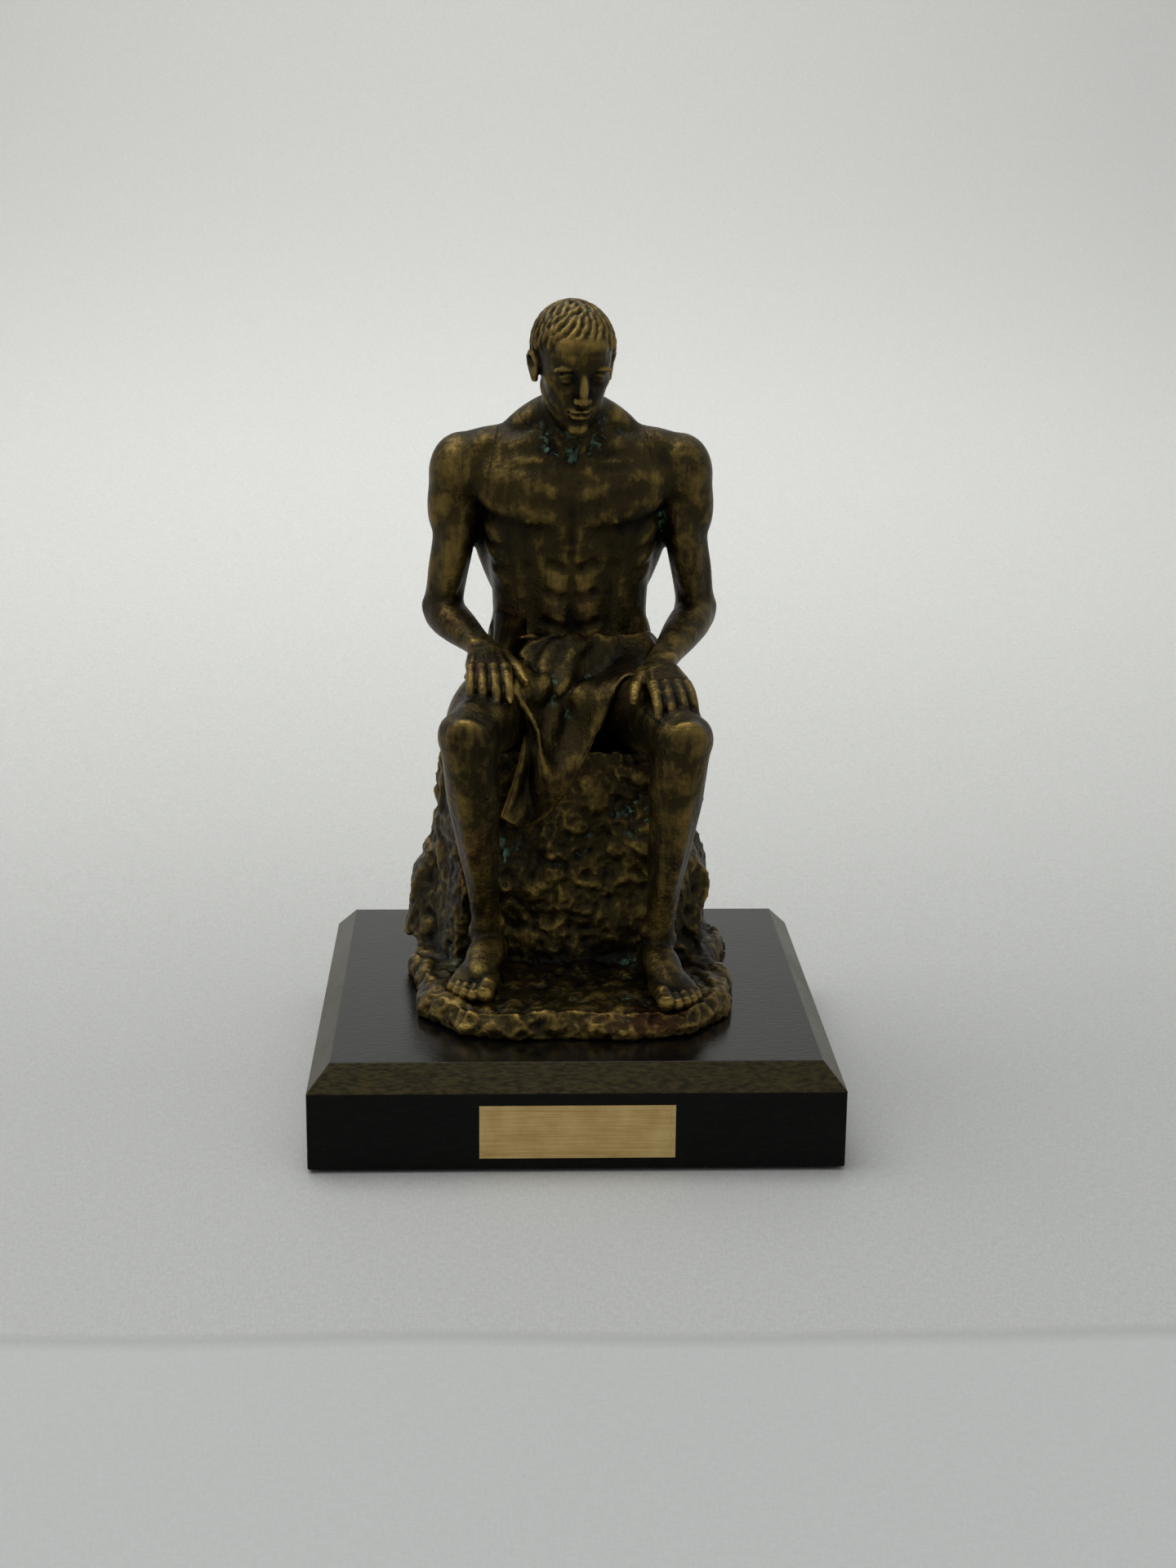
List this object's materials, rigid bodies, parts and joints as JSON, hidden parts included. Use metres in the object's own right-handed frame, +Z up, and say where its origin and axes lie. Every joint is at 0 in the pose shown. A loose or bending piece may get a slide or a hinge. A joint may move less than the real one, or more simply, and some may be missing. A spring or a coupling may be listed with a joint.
{
  "type": "bronze figure ornament",
  "caption": "Patinated bronze figure of a seated man on a rock, hollow cast in sections and bolted to a black lacquered plinth with a bare brass plate.",
  "frame": {"origin": "middle of the felt underside, on the surface that the piece stands on", "axes": "+Z up; the figure faces -Y; the figure's own right side is at -X"},
  "size_m": [0.15, 0.1503, 0.2327],
  "materials": {
    "bronze": "dark brown patina over cast bronze, worn golden on the high places",
    "lacquered_wood": "black gloss lacquer over an open grain",
    "plate_brass": "brushed, bare, with an engraved border line",
    "glue": "thin clear contact glue",
    "steel": "zinc plated",
    "felt": "dark green felt"
  },
  "bodies": {
    "root": {"base_felt": "felt", "plinth": "lacquered_wood", "nameplate": "plate_brass", "nameplate_glue": "glue", "mounting_screws": "steel", "lock_washers": "steel", "flat_washers": "steel", "mounting_bar": "steel", "rock": "bronze", "torso": "bronze", "head": "bronze", "right_arm": "bronze", "left_arm": "bronze", "right_leg": "bronze", "left_leg": "bronze", "lap_cloth": "bronze"}
  },
  "joints": []
}
